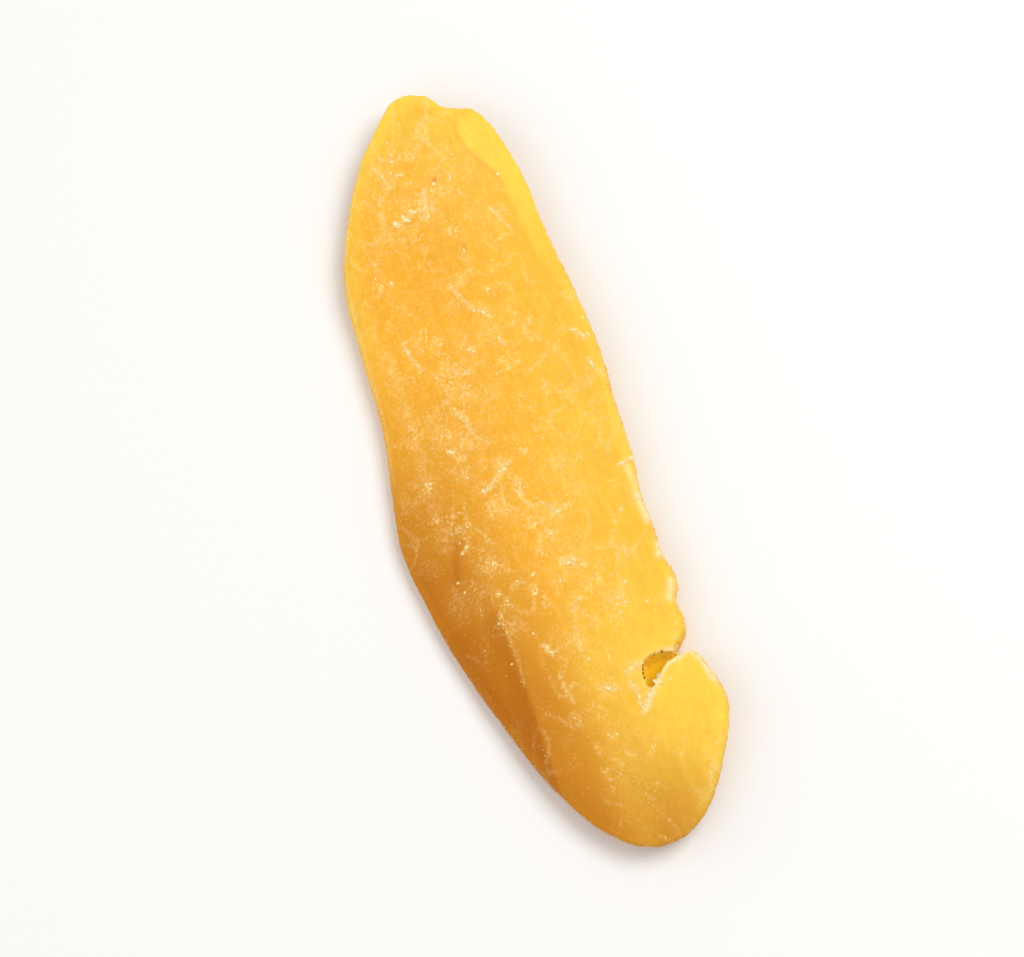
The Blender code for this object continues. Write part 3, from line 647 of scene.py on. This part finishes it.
def fleshFields(places, at):  # what the material reads at each vertex, 0 to 1
    # The flesh's amber colour with painted shade: the lower left, the flesh left of the ridge, the peeled
    # border's step and deep marks are drawn darker.
    amber = np.interp(at["fromLeft"], *flesh["amberFade"]) * np.interp(at["y"], *flesh["amberUp"])
    at["amber"] = (amber + sumOf(at, "amber")) * leftOf(at, "amber")
    pale = sumOf(at, "pale") * leftOf(at, "pale") + sumOf(at, "paleStripesAndRimLight")
    thinly = (1.0 - at["amber"]).clip(flesh["leastDust"]) * leftOf(at, "dust")
    onFace = 1.0 - at["pit"]
    fields = {
        "amber": at["amber"] * onFace,
        "pale": np.maximum(pale, flesh["peeledPaleness"] * at["peeled"]),
        "bloom": sugarBloom(places, at) * leftOf(at, "bloom") * onFace,
        "dust": sumOf(at, "dust") * thinly * onFace,
        "calm": at["calm"],
        "cut": at["wall"] * at["steep"] * leftOf(at, "cut"),
        "torn": tornRims(places, at) * onFace,
        "pit": at["pit"],
        # painted light: the pit's walls are drawn paler against the shade in the pit
        "pitWallPaintedLight": at["pit"] * at["wall"],
    }
    return {name: values.clip(0.0, 1.0) for name, values in fields.items()}


def workFlesh(shape):  # moves the vertices, and returns the fields for the material
    places = np.array([v.co for v in shape.verts]) / mm
    normals = np.array([v.normal for v in shape.verts])
    at = measureFace(places, normals)
    push = reliefPush(places, at) + markPush(places, at) + sumOf(at, "push")
    low, high = (np.array(corner) / mm for corner in cadBox)
    moved = np.clip(places + normals * push[:, None], low, high)
    for vertex, place in zip(shape.verts, moved * mm):
        vertex.co = place
    return fleshFields(places, at)


fleshLook = {
    # Soft-dried fruit, cut with a knife and dusted by its own sugar: amber and a little translucent
    # inside, paler where it was next to the skin, with a matt whitish bloom; paler where it is thin as
    # painted light.
    "warm": "#F7B232",
    "roughness": (0.40, 0.62),
    "specular": 0.12,
    "subsurface": 0.15,
    "subsurfaceDepth": 1.2,
    "subsurfaceRadius": (1.0, 0.45, 0.12),   # red light goes deepest
    "ior": 1.45,
    # Patterns: width across the fibres, length along them, detail. Real specks and grains of dried
    # sugar are finer than these, which are drawn as coarse as they need to be to show.
    "patterns": {
        "mottle": (3.6, 5.0, 3.0),
        "freckles": (1.3, 1.7, 3.0),
        "streaks": (0.6, 4.5, 3.0),
        "specks": (0.4, 0.5, 1.6),
        "grain": (0.32, 0.32, 2.0),
    },
    # Layers of colour: colour, field on the mesh, pattern that loosens it, shares at its low and high.
    "layers": {
        "pale": ("#FFD44C", "pale", "mottle", 0.85, 1.15),
        # amber colour, and painted shade where the amber field darkens the flesh
        "amber": ("#B86809", "amber", "freckles", 0.94, 1.06),
        "amberStreaks": ("#8E4A06", "amber", "streaks", 0.0, 0.18),
        "bloom": ("#FFE6A2", "bloom", "specks", 0.0, 1.0),
        "dust": ("#FFE2A0", "dust", "specks", -1.2, 0.9),
        "haze": ("#FFDC84", "dust", "freckles", -0.3, 0.4),
        "cut": ("#FFDFA0", "cut", "streaks", -0.5, 0.5),
        "cutShade": ("#DA9626", "cut", "freckles", -0.3, 0.35),
        "torn": ("#FFF0B8", "torn", "specks", 0.65, 1.0),
        "pit": ("#F0C222", "pit", "mottle", 1.0, 1.0),
        # painted light on the pit's walls, against the shade there
        "pitWallPaintedLight": ("#FFDC50", "pitWallPaintedLight", "mottle", 1.0, 1.0),
    },
    "tones": {"streaks": (0.96, 1.03), "freckles": (0.96, 1.03)},
    "patternRoughness": 0.55,
    "layerSpan": (0.32, 0.68),    # values of a pattern between which a layer goes from low to high
    "toneSpan": (0.3, 0.7),
    "calmGrain": 0.3,             # share of the grain's relief on the calm areas
    "grainDepth": 0.03,
    "streakDepth": 0.02,
}


def fleshMaterial():
    look = fleshLook
    layerLow, layerHigh = look["layerSpan"]
    toneLow, toneHigh = look["toneSpan"]
    material, tree = newMaterial("softDriedMangoFlesh")
    place = addNode(tree, "ShaderNodeTexCoord").outputs["Object"]
    patterns = {}
    for name, (width, length, detail) in look["patterns"].items():
        mapped = addNode(tree, "ShaderNodeMapping", {
            "Vector": place,
            "Scale": [1 / (width * mm), 1 / (length * mm), 1 / (width * mm)],
        })
        patterns[name] = addNode(tree, "ShaderNodeTexNoise", {
            "Vector": mapped.outputs[0],
            "Scale": 1.0,
            "Detail": detail,
            "Roughness": look["patternRoughness"],
        }).outputs["Fac"]

    colour = linearColour(look["warm"])
    for code, fieldName, patternName, low, high in look["layers"].values():
        field = addNode(tree, "ShaderNodeAttribute", attribute_name=fieldName)
        loosened = addNode(tree, "ShaderNodeMapRange", {
            "Value": patterns[patternName],
            "From Min": layerLow,
            "From Max": layerHigh,
            "To Min": low,
            "To Max": high,
        })
        share = addNode(tree, "ShaderNodeMath", {
            0: field.outputs["Fac"], 1: loosened.outputs[0]}, operation="MULTIPLY", use_clamp=True)
        colour = addNode(tree, "ShaderNodeMix", {
            0: share.outputs[0], 6: colour, 7: linearColour(code)}, data_type="RGBA").outputs[2]
    for patternName, (low, high) in look["tones"].items():
        tone = addNode(tree, "ShaderNodeMapRange", {
            "Value": patterns[patternName],
            "From Min": toneLow,
            "From Max": toneHigh,
            "To Min": low,
            "To Max": high,
        })
        colour = addNode(tree, "ShaderNodeMix", {
            0: 1.0, 6: colour, 7: tone.outputs[0]}, data_type="RGBA", blend_type="MULTIPLY").outputs[2]

    low, high = look["roughness"]
    rough = addNode(tree, "ShaderNodeMapRange", {
        "Value": patterns["grain"],
        "From Min": toneLow,
        "From Max": toneHigh,
        "To Min": low,
        "To Max": high,
    })
    calm = addNode(tree, "ShaderNodeAttribute", attribute_name="calm")
    grainShare = addNode(tree, "ShaderNodeMapRange", {
        "Value": calm.outputs["Fac"],
        "To Min": 1.0,
        "To Max": look["calmGrain"],
    })
    grainBump = addNode(tree, "ShaderNodeBump", {
        "Strength": grainShare.outputs[0],
        "Distance": look["grainDepth"] * mm,
        "Height": patterns["grain"],
    })
    streakBump = addNode(tree, "ShaderNodeBump", {
        "Strength": 1.0,
        "Distance": look["streakDepth"] * mm,
        "Height": patterns["streaks"],
        "Normal": grainBump.outputs[0],
    })
    shader = addNode(tree, "ShaderNodeBsdfPrincipled", {
        "Base Color": colour,
        "Roughness": rough.outputs[0],
        "IOR": look["ior"],
        "Specular IOR Level": look["specular"],
        "Subsurface Weight": look["subsurface"],
        "Subsurface Radius": look["subsurfaceRadius"],
        "Subsurface Scale": look["subsurfaceDepth"] * mm,
        "Normal": streakBump.outputs[0],
    })
    addNode(tree, "ShaderNodeOutputMaterial", {"Surface": shader.outputs[0]})
    return material


def addFlesh():
    shape = roundedCopy()
    fields = workFlesh(shape)
    piece = addPiece("mangoFlesh", shape, fleshMaterial())
    for name, values in fields.items():
        addField(piece, name, values)
    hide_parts("mango_slice")
    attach(piece, "root")

    # What the sugar and the shreds need, to be laid on the face.
    places = np.array([v.co for v in piece.data.vertices]) / mm
    normals = np.array([v.normal for v in piece.data.vertices])
    upper = np.flatnonzero(normals[:, 2] > flesh["layAbove"])
    tree = kdtree.KDTree(len(upper))
    for i in upper:
        tree.insert((places[i, 0], places[i, 1], 0.0), int(i))
    tree.balance()
    return {"places": places, "normals": normals, "upper": upper, "tree": tree, "fields": fields}


def faceAt(face, x, y):  # the place and the normal of the upper face at this spot
    i = face["tree"].find((x, y, 0.0))[1]
    return Vector((x, y, face["places"][i, 2])), Vector(face["normals"][i])


# Irregular lumps, of which the sugar and the shreds are made.

lumps = {
    "batch": 80,             # a big bmesh is slow to add to, so they are made 80 at a time
    "coarse": 1,             # rounds of splitting of an icosphere
    "fine": 2,
    "spike": 0,              # in place of rounds, asks for a cone that points along its length
    "spikeSides": 9,
    "spikeTip": 0.22,        # radius at its tip, as a share of that at its root
}


def lumpShape(items, rng, jitter):  # an item is a place, a normal, half sizes, a turn and rounds
    whole, counts = bmesh.new(), []
    for start in range(0, len(items), lumps["batch"]):
        batch = bmesh.new()
        for place, normal, half, turn, rounds in items[start:start + lumps["batch"]]:
            if rounds == lumps["spike"]:
                made = bmesh.ops.create_cone(
                    batch, cap_ends=True, cap_tris=True, segments=lumps["spikeSides"],
                    depth=2.0, radius1=1.0, radius2=lumps["spikeTip"])["verts"]
                bmesh.ops.rotate(batch, matrix=Matrix.Rotation(math.radians(90), 3, "Y"), verts=made)
            else:
                made = bmesh.ops.create_icosphere(batch, subdivisions=rounds, radius=1.0)["verts"]
            counts.append(len(made))
            for vertex in made:
                vertex.co *= 1.0 + jitter * rng.uniform(-1.0, 1.0)
            lie = Vector((0, 0, 1)).rotation_difference(normal) @ Quaternion((0, 0, 1), turn)
            stand = Matrix.LocRotScale(place * mm, lie, Vector(half) * mm)
            bmesh.ops.transform(batch, matrix=stand, verts=made)
        mesh = bpy.data.meshes.new("lumpBatch")
        batch.to_mesh(mesh)
        batch.free()
        whole.from_mesh(mesh)
        bpy.data.meshes.remove(mesh)
    return whole, counts


def addLumps(name, items, tints, rng, jitter, material):
    shape, counts = lumpShape(items, rng, jitter)
    piece = addPiece(name, shape, material)
    addField(piece, "tint", np.repeat(tints, counts))
    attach(piece, "root")


# Dried sugar and crumbs of pulp that lie on the face.

sugar = {
    "seed": 11,
    "jitter": 0.28,
    "dullColour": "#FFD060",
    "whiteColour": "#FFEEB4",
    "roughness": 0.45,
    "ior": 1.5,
    "specular": 0.25,
    # Grains are strewn where the flesh is white, and a few where it is dusty or bare. A tint goes
    # from 0, the dull colour, to 1, the white one.
    "grainCount": 3200,
    "grainOnDust": 0.05,
    "grainOnBare": 0.012,
    "grainRadius": (0.05, 0.14),
    "grainSwell": (0.7, 0.5),      # size on bare flesh, and how much is added on white
    "grainSquash": (0.6, 1.3),
    "grainStray": 0.15,
    "grainTint": (0.1, 0.9),
    # Threads lie along the white marks: how many to a millimetre, half length, half width, half height.
    "threadsPerMm": 5.0,
    "threadLength": (0.14, 0.42),
    "threadWidth": (0.05, 0.12),
    "threadHeight": (0.025, 0.05),
    "threadStray": 0.45,           # to the sides, in half widths of the mark
    "threadTurn": 0.5,
    "threadTint": (0.5, 1.0),
    "crumbHeight": 0.26,           # half of it, as a share of the width
    "crumbTint": (0.6, 1.0),
    "amberTint": 0.7,              # sugar on amber flesh, and in its painted shade, takes on its colour, by this share
    # Crumbs that the photo shows one by one: x, y, length, width, turn in degrees.
    "crumbs": (
        (-4.0, 41.7, 1.0, 0.7, 70), (-3.7, 41.1, 0.6, 0.4, 10), (-2.5, 42.3, 0.8, 0.5, 100),
        (-2.2, 41.7, 1.0, 0.6, -40), (-1.8, 41.5, 0.6, 0.4, -20), (-1.2, 42.9, 0.8, 0.5, 20),
        (-0.7, 42.5, 0.9, 0.5, -30), (-3.4, 41.5, 0.4, 0.3, 0), (1.2, 41.2, 0.7, 0.4, 70),
        (1.0, 42.6, 0.9, 0.4, 40), (4.1, 46.5, 0.7, 0.35, -50), (3.5, 45.7, 0.7, 0.45, 60),
        (2.8, 44.8, 0.4, 0.3, 0), (6.1, 45.7, 0.6, 0.3, 70), (-0.9, 48.7, 0.9, 0.35, -10),
        (-2.1, 49.4, 0.5, 0.3, 0), (-3.5, 49.2, 0.5, 0.35, 90), (-1.4, 51.0, 0.6, 0.4, 30),
        (-1.1, 51.9, 0.5, 0.4, 80), (-1.1, 54.0, 0.4, 0.3, 0), (7.6, 49.0, 0.5, 0.3, -20),
        (13.1, 43.9, 0.6, 0.5, 0), (-7.4, 33.2, 0.7, 0.5, 110), (4.5, 34.5, 0.8, 0.3, 95),
        (8.0, 31.5, 0.4, 0.3, 0), (5.9, 27.5, 0.6, 0.3, 10), (2.9, 25.0, 0.6, 0.35, 0),
        (4.1, 24.3, 0.8, 0.5, -40), (4.7, 23.6, 0.5, 0.35, 60), (5.1, 19.6, 0.6, 0.35, -40),
        (0.3, 19.6, 0.5, 0.35, 60), (0.9, 19.1, 0.6, 0.4, 110), (-5.6, 17.0, 0.5, 0.3, 120),
        (15.9, 17.0, 1.0, 0.35, -30), (16.9, 15.6, 0.7, 0.4, -60), (16.7, 11.2, 0.9, 0.5, 100),
        (-7.3, 5.6, 0.6, 0.4, 60), (-7.0, 5.3, 0.4, 0.3, 0), (-12.3, 2.1, 0.5, 0.4, 0),
        (-11.7, 1.9, 0.6, 0.45, 20), (-11.9, 1.3, 0.5, 0.35, 0), (-6.2, 0.9, 0.5, 0.35, 40),
        (-4.6, -1.7, 0.8, 0.45, 100), (-0.6, 0.4, 0.8, 0.5, 30), (-3.1, -3.0, 0.5, 0.3, 0),
        (0.6, -3.2, 0.5, 0.3, 70), (-8.6, -6.2, 0.4, 0.3, 0), (-9.7, -9.0, 0.8, 0.55, 40),
        (-10.5, -9.5, 0.6, 0.4, 20), (-10.4, -7.9, 0.4, 0.3, 0), (-12.6, -13.5, 0.5, 0.4, 0),
        (-12.1, -15.3, 0.5, 0.4, 30), (-6.8, -12.7, 0.6, 0.4, 60), (-6.6, -18.7, 0.5, 0.35, 0),
        (-7.5, -17.3, 0.8, 0.4, -20), (-1.8, -16.2, 0.9, 0.4, 40), (-4.3, -16.4, 0.6, 0.3, -20),
        (-2.4, -19.0, 0.9, 0.4, 10), (-2.0, -18.5, 0.5, 0.3, 70), (1.7, -18.4, 0.5, 0.3, 60),
        (3.7, -16.3, 0.9, 0.6, 30), (4.5, -16.0, 0.6, 0.4, 80), (5.4, -17.2, 0.6, 0.4, -30),
        (13.5, -11.3, 0.6, 0.4, 30), (2.7, -11.2, 0.6, 0.4, 20), (4.6, -8.4, 0.7, 0.4, -20),
        (9.0, -23.6, 0.5, 0.3, 0), (8.3, -24.6, 0.6, 0.3, 50), (9.6, -24.6, 0.4, 0.3, 0),
        (8.5, -26.0, 0.5, 0.3, 0), (10.6, -21.8, 0.6, 0.4, 70), (12.7, -25.6, 0.6, 0.3, 40),
        (3.5, -21.9, 0.5, 0.3, 30), (1.8, -31.0, 0.5, 0.35, 60), (-3.3, -27.2, 0.9, 0.5, -70),
        (-2.9, -28.2, 0.7, 0.45, -60), (-4.6, -24.6, 0.5, 0.3, 60), (-9.0, -27.9, 0.5, 0.3, 0),
        (6.7, -36.9, 0.9, 0.4, -60), (6.9, -38.9, 0.6, 0.4, -80), (3.1, -36.1, 1.0, 0.5, -40),
        (7.0, -40.6, 0.6, 0.4, 30), (0.9, -42.6, 0.5, 0.3, 0), (2.1, -42.9, 0.5, 0.3, 0),
        (12.0, -38.0, 0.4, 0.3, 0), (6.3, 2.9, 0.4, 0.25, 0), (7.2, -34.4, 0.8, 0.4, 20),
    ),
}


def sugarMaterial():
    # Sugar that has dried out of the fruit: tiny clouded grains, cream on the amber flesh.
    material, tree = newMaterial("crystallisedFruitSugar")
    tint = addNode(tree, "ShaderNodeAttribute", attribute_name="tint")
    colour = addNode(tree, "ShaderNodeMix", {
        0: tint.outputs["Fac"],
        6: linearColour(sugar["dullColour"]),
        7: linearColour(sugar["whiteColour"]),
    }, data_type="RGBA")
    shader = addNode(tree, "ShaderNodeBsdfPrincipled", {
        "Base Color": colour.outputs[2],
        "Roughness": sugar["roughness"],
        "IOR": sugar["ior"],
        "Specular IOR Level": sugar["specular"],
    })
    addNode(tree, "ShaderNodeOutputMaterial", {"Surface": shader.outputs[0]})
    return material


def strewGrains(face, rng):  # like layThreads and layCrumbs, gives items and their tints
    bloom, dust, pit = (face["fields"][key] for key in ("bloom", "dust", "pit"))
    bare, swell = sugar["grainSwell"]
    stray = sugar["grainStray"]
    weight = (bloom ** 2 + sugar["grainOnDust"] * dust + sugar["grainOnBare"]) * (1.0 - pit)
    weight = weight[face["upper"]]
    grains, tints = [], []
    for i in rng.choice(face["upper"], size=sugar["grainCount"], p=weight / weight.sum()):
        place = Vector(face["places"][i] + rng.uniform(-stray, stray, 3) * (1, 1, 0))
        radius = rng.uniform(*sugar["grainRadius"]) * (bare + swell * bloom[i])
        half = radius * rng.uniform(*sugar["grainSquash"], 3)
        turn = rng.uniform(0, math.tau)
        grains.append((place, Vector(face["normals"][i]), half, turn, lumps["coarse"]))
        tints.append(rng.uniform(*sugar["grainTint"]))
    return grains, tints


def layThreads(face, rng):
    threads, tints = [], []
    for line, width, _, whiteness in flesh["marks"].values():
        if whiteness < flesh["threadAbove"] or len(line) < 2:
            continue
        corners = np.array(line, float)
        runs = np.linalg.norm(np.diff(corners, axis=0), axis=1)
        for _ in range(round(runs.sum() * sugar["threadsPerMm"] * whiteness)):
            k = rng.choice(len(runs), p=runs / runs.sum())
            run = corners[k + 1] - corners[k]
            across = rng.normal(0.0, sugar["threadStray"] * width, 2)
            x, y = corners[k] + run * rng.uniform() + across
            half = [rng.uniform(*sugar[key]) for key in ("threadLength", "threadWidth", "threadHeight")]
            turn = math.atan2(run[1], run[0]) + rng.normal(0.0, sugar["threadTurn"])
            threads.append((*faceAt(face, x, y), half, turn, lumps["coarse"]))
            tints.append(whiteness * rng.uniform(*sugar["threadTint"]))
    return threads, tints


def layCrumbs(face, rng):
    crumbs, tints = [], []
    for x, y, length, width, turn in sugar["crumbs"]:
        half = (length / 2, width / 2, width * sugar["crumbHeight"])
        crumbs.append((*faceAt(face, x, y), half, math.radians(turn), lumps["fine"]))
        tints.append(rng.uniform(*sugar["crumbTint"]))
    return crumbs, tints


def addSugar(face):
    rng = np.random.default_rng(sugar["seed"])
    items, tints = [], []
    for lay in (strewGrains, layThreads, layCrumbs):
        laid, laidTints = lay(face, rng)
        items += laid
        tints += laidTints
    amber = face["fields"]["amber"]
    for k, (place, *_) in enumerate(items):
        under = face["tree"].find((place.x, place.y, 0.0))[1]
        tints[k] *= 1.0 - sugar["amberTint"] * amber[under]
    addLumps("sugarCrystals", items, tints, rng, sugar["jitter"], sugarMaterial())


# Shreds of torn flesh that stick out along the right edge and round the tear.

shreds = {
    "seed": 23,
    "jitter": 0.25,
    "rootColour": "#9A5A08",
    "middleColour": "#FFC640",
    "tipColour": "#FFEEB4",
    "roughness": 0.55,
    "specular": 0.2,
    "strandWidth": 0.3,
    # Short ones all along the right edge: how many, and at which tilts, x and y. A tint goes from 0,
    # the root's colour, to 1, the tip's, and the strands add up to 1 to it.
    "edgeCount": 90,
    "edgeTilt": (0.1, 0.75),
    "edgeX": 12.0,
    "edgeY": (-46.0, 22.0),
    "edgeTint": (0.05, 0.45),
    "edgeTurn": 0.5,
    "edgeLength": (0.3, 0.9),
    "edgeWidth": (0.10, 0.26),
    # Torn spikes that stick out of the flap's lip over the pit: x, y, length, width, turn in degrees.
    "spikes": (
        (10.7, -37.5, 1.8, 1.5, 106), (10.4, -37.7, 1.2, 1.5, 115), (10.05, -37.93, 1.6, 1.4, 124),
    ),
    "spikeRoot": (11.3, -37.9),   # on top of the flap; the spikes start this far below it
    "spikeDrop": 0.3,
    "spikeRise": 0.35,            # slope at which they rise towards their tips
    "spikeHeight": 0.3,           # half of it, as a share of the width
    "spikeTint": 0.4,
    # Shreds that the photo shows one by one: x, y, length, width, turn in degrees from +X, and how
    # pale they are.
    "named": (
        (17.9, -0.7, 0.9, 0.5, 80, 1.0), (17.5, -4.4, 1.3, 0.6, 20, 1.0),
        (16.0, -4.8, 1.4, 0.35, 0, 0.9), (16.9, -18.1, 1.0, 0.6, 70, 1.0),
        (16.7, -19.2, 1.1, 0.5, 100, 1.0), (16.8, -13.6, 0.9, 0.4, 80, 0.8),
        (17.7, 15.6, 0.9, 0.4, 110, 0.8), (17.9, 18.4, 0.6, 0.3, 60, 0.8),
        (13.6, -33.7, 1.2, 0.22, 5, 0.9), (15.4, -35.1, 1.1, 0.4, 8, 0.9),
        (16.2, -34.9, 0.8, 0.35, -10, 0.9), (16.8, -35.1, 0.9, 0.5, -30, 0.9),
        (17.7, -37.0, 0.9, 0.35, -70, 0.8), (7.3, -40.3, 0.7, 0.35, 60, 0.8),
        # dark nicks along the left and upper lips of the tear
        (9.0, -34.4, 0.7, 0.34, 215, 0.0), (8.75, -35.0, 0.7, 0.32, 205, 0.0),
        (8.65, -35.6, 0.7, 0.34, 200, 0.0), (8.55, -36.3, 0.7, 0.34, 205, 0.0),
        (11.0, -33.5, 0.5, 0.26, 60, 0.0), (12.2, -33.5, 0.6, 0.3, 75, 0.0),
    ),
    "namedHeight": 0.35,          # half of it, as a share of the width
    "palenessTint": -0.4,         # tint of one of paleness 0
}


def tornMaterial():
    # Torn fibres of the flesh, dried at their tips: dull, cream to yellow, and amber where thick.
    material, tree = newMaterial("driedTornPulp")
    place = addNode(tree, "ShaderNodeTexCoord").outputs["Object"]
    strands = addNode(tree, "ShaderNodeTexNoise", {
        "Vector": place,
        "Scale": 1 / (shreds["strandWidth"] * mm),
        "Detail": 2.0,
    })
    tint = addNode(tree, "ShaderNodeAttribute", attribute_name="tint")
    share = addNode(tree, "ShaderNodeMath", {
        0: strands.outputs["Fac"], 1: tint.outputs["Fac"]}, operation="ADD")
    ramping = addNode(tree, "ShaderNodeValToRGB", {"Fac": share.outputs[0]})
    root, tip = ramping.color_ramp.elements
    root.color = linearColour(shreds["rootColour"])
    tip.color = linearColour(shreds["tipColour"])
    ramping.color_ramp.elements.new(0.5).color = linearColour(shreds["middleColour"])
    shader = addNode(tree, "ShaderNodeBsdfPrincipled", {
        "Base Color": ramping.outputs["Color"],
        "Roughness": shreds["roughness"],
        "Specular IOR Level": shreds["specular"],
    })
    addNode(tree, "ShaderNodeOutputMaterial", {"Surface": shader.outputs[0]})
    return material


def edgeShreds(face, rng):
    x, y, tilt = face["places"][:, 0], face["places"][:, 1], face["normals"][:, 2]
    (lowTilt, highTilt), (lowY, highY) = shreds["edgeTilt"], shreds["edgeY"]
    atEdge = (tilt > lowTilt) & (tilt < highTilt) & (x > shreds["edgeX"]) & (y > lowY) & (y < highY)
    items, tints = [], []
    for i in rng.choice(np.flatnonzero(atEdge), shreds["edgeCount"]):
        length = rng.uniform(*shreds["edgeLength"])
        width = rng.uniform(*shreds["edgeWidth"])
        half = (width / 2, length / 2, width / 2)
        turn = rng.normal(0.0, shreds["edgeTurn"])
        items.append((Vector(face["places"][i]), Vector((0, 0, 1)), half, turn, lumps["coarse"]))
        tints.append(rng.uniform(*shreds["edgeTint"]))
    return items, tints


def addShreds(face):
    rng = np.random.default_rng(shreds["seed"])
    items, tints = edgeShreds(face, rng)
    for x, y, length, width, turn, paleness in shreds["named"]:
        half = (length / 2, width / 2, width * shreds["namedHeight"])
        items.append((*faceAt(face, x, y), half, math.radians(turn), lumps["fine"]))
        tints.append(paleness + shreds["palenessTint"])
    z = faceAt(face, *shreds["spikeRoot"])[0].z - shreds["spikeDrop"]
    for x, y, length, width, degrees in shreds["spikes"]:
        turn = math.radians(degrees)
        half = (length / 2, width / 2, width * shreds["spikeHeight"])
        rise = Vector((math.cos(turn), math.sin(turn), 0.0)) * shreds["spikeRise"]
        normal = (Vector((0, 0, 1)) - rise).normalized()
        items.append((Vector((x, y, z)), normal, half, turn, lumps["spike"]))
        tints.append(shreds["spikeTint"])
    addLumps("tornShreds", items, tints, rng, shreds["jitter"], tornMaterial())


print("camera and studio")
addCamera()
addStudio()

print("flesh")
face = addFlesh()
print("sugar")
addSugar(face)
print("shreds")
addShreds(face)
